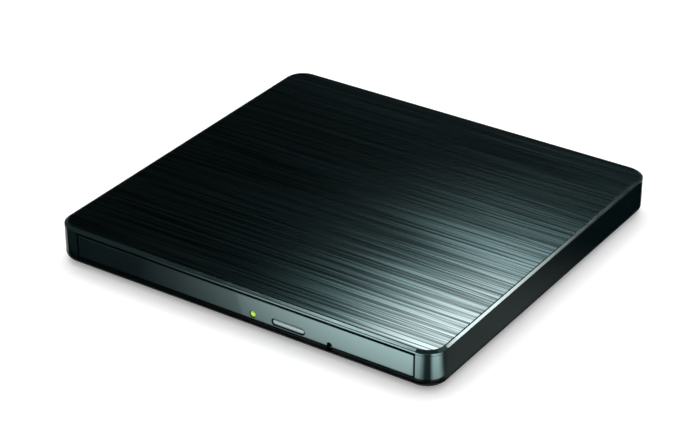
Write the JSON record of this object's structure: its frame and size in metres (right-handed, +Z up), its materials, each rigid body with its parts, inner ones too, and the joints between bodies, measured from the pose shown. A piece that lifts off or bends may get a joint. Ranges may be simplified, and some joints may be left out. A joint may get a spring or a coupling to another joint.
{
  "type": "external dvd drive",
  "caption": "Slim external disc drive with a brushed top plate and a pull-out disc tray with an eject button, a light and an emergency pin hole.",
  "frame": {"origin": "centre of the footprint, on the surface that the feet stand on", "axes": "+Z up, the tray opens towards -Y, +X is to the right seen from the front"},
  "size_m": [0.144, 0.1376, 0.014],
  "materials": {
    "black_moulding": "fine satin",
    "gloss_shell": "high gloss",
    "brushed_plate": "hairline brushed, dark tint",
    "rubber": "matte",
    "zinc_steel": "zinc plated",
    "sheet_steel": "galvanised sheet",
    "label_film": "satin film, bare",
    "guide_plastic": "satin",
    "ivory_plastic": "satin",
    "flex_film": "satin film over copper tracks",
    "tray_plastic": "fine spark texture",
    "button_silver": "silver lacquer",
    "light_green": "clear pipe, lit green",
    "circuit_board": "solder resist",
    "switch_grey": "satin",
    "chip_black": "satin",
    "coil_copper": "lacquered copper wire",
    "motor_grey": "satin",
    "pickup_casting": "die cast",
    "lens_glass": "coated lens"
  },
  "bodies": {
    "case": {"bottom_cover": "black_moulding", "top_cover": "gloss_shell", "top_plate": "brushed_plate", "foot_front_left": "rubber", "foot_front_right": "rubber", "foot_rear_left": "rubber", "foot_rear_right": "rubber", "case_screw_front_left": "zinc_steel", "case_screw_front_right": "zinc_steel", "case_screw_rear_left": "zinc_steel", "case_screw_rear_right": "zinc_steel", "label_plate": "label_film", "drive_pan": "sheet_steel", "drive_lid": "sheet_steel", "rail_guide_left": "guide_plastic", "rail_guide_right": "guide_plastic", "flex_connector": "ivory_plastic", "latch_post": "zinc_steel", "bridge_board": "circuit_board", "bridge_chip": "chip_black", "usb_socket": "zinc_steel", "usb_tongue": "chip_black"},
    "tray": {"disc_tray": "tray_plastic", "tray_under_cover": "sheet_steel", "tray_bezel": "gloss_shell", "light_pipe": "light_green", "led_lamp": "ivory_plastic", "control_board": "circuit_board", "eject_switch": "switch_grey", "servo_chip": "chip_black", "solenoid_coil": "coil_copper", "kick_spring": "zinc_steel", "spindle_base": "motor_grey", "traverse_deck": "sheet_steel", "deck_damper_1": "rubber", "deck_damper_2": "rubber", "deck_damper_3": "rubber", "traverse_cover": "sheet_steel", "main_guide_rod": "zinc_steel", "second_guide_rod": "zinc_steel", "sled_motor": "zinc_steel", "sled_bracket": "sheet_steel"},
    "left_rail": {"slide_rail_left": "zinc_steel"},
    "right_rail": {"slide_rail_right": "zinc_steel"},
    "flex_loop": {"flex_cable": "flex_film"},
    "button": {"eject_button": "button_silver"},
    "latch": {"latch_hook": "ivory_plastic"},
    "solenoid_core": {"solenoid_plunger": "zinc_steel"},
    "kicker": {"kick_plunger": "ivory_plastic"},
    "spindle": {"turntable": "chip_black", "turntable_pad": "rubber"},
    "claw_1": {"disc_claw_1": "ivory_plastic"},
    "claw_2": {"disc_claw_2": "ivory_plastic"},
    "claw_3": {"disc_claw_3": "ivory_plastic"},
    "pickup": {"pickup_body": "pickup_casting", "sled_rack": "ivory_plastic"},
    "lens": {"lens_holder": "chip_black", "objective_lens": "lens_glass"},
    "screw": {"lead_screw": "zinc_steel"}
  },
  "joints": [
    {"name": "tray_slide", "type": "slide", "parent": "case", "child": "tray", "axis": [0, -1, 0], "range_m": [0, 0.125]},
    {"name": "left_rail_slide", "type": "slide", "parent": "case", "child": "left_rail", "axis": [0, -1, 0], "range_m": [0, 0.0625]},
    {"name": "right_rail_slide", "type": "slide", "parent": "case", "child": "right_rail", "axis": [0, -1, 0], "range_m": [0, 0.0625]},
    {"name": "flex_roll", "type": "slide", "parent": "case", "child": "flex_loop", "axis": [0, -1, 0], "range_m": [0, 0.0625]},
    {"name": "kick_out", "type": "slide", "parent": "tray", "child": "kicker", "axis": [0, 1, 0], "range_m": [0, 0.0125]},
    {"name": "eject_press", "type": "slide", "parent": "tray", "child": "button", "axis": [0, 1, 0], "range_m": [0, 0.0005], "stiffness_N_per_m": 600},
    {"name": "latch_swing", "type": "hinge", "parent": "tray", "child": "latch", "pos_m": [0.043, -0.058, 0.0053], "axis": [0, 0, -1], "range_deg": [0, 10]},
    {"name": "solenoid_pull", "type": "slide", "parent": "tray", "child": "solenoid_core", "axis": [1, 0, 0], "range_m": [0, 0.0007], "stiffness_N_per_m": 100},
    {"name": "spindle_spin", "type": "hinge", "parent": "tray", "child": "spindle", "pos_m": [0.00085, -0.00425, 0.0085], "axis": [0, 0, 1], "continuous": true},
    {"name": "claw_1_press", "type": "slide", "parent": "spindle", "child": "claw_1", "axis": [0, -1, 0], "range_m": [0, 0.0005], "stiffness_N_per_m": 300},
    {"name": "claw_2_press", "type": "slide", "parent": "spindle", "child": "claw_2", "axis": [0.866, 0.5, 0], "range_m": [0, 0.0005], "stiffness_N_per_m": 300},
    {"name": "claw_3_press", "type": "slide", "parent": "spindle", "child": "claw_3", "axis": [-0.866, 0.5, 0], "range_m": [0, 0.0005], "stiffness_N_per_m": 300},
    {"name": "pickup_slide", "type": "slide", "parent": "tray", "child": "pickup", "axis": [-0.7071, -0.7071, 0], "range_m": [0, 0.0345]},
    {"name": "lead_screw_spin", "type": "hinge", "parent": "tray", "child": "screw", "pos_m": [-0.00113, -0.0447, 0.0065], "axis": [-0.7071, -0.7071, 0], "range_deg": [0, 4141]},
    {"name": "lens_focus", "type": "slide", "parent": "pickup", "child": "lens", "axis": [0, 0, 1], "range_m": [-0.0004, 0.0004], "stiffness_N_per_m": 40}
  ],
  "couplings": [
    {"joint": "left_rail_slide", "follows": "tray_slide", "ratio": 0.5},
    {"joint": "right_rail_slide", "follows": "tray_slide", "ratio": 0.5},
    {"joint": "flex_roll", "follows": "tray_slide", "ratio": 0.5},
    {"joint": "kick_out", "follows": "tray_slide", "ratio": 0.1},
    {"joint": "latch_swing", "follows": "solenoid_pull", "rad_per_m": 249.33},
    {"joint": "lead_screw_spin", "follows": "pickup_slide", "rad_per_m": 2094.4}
  ]
}
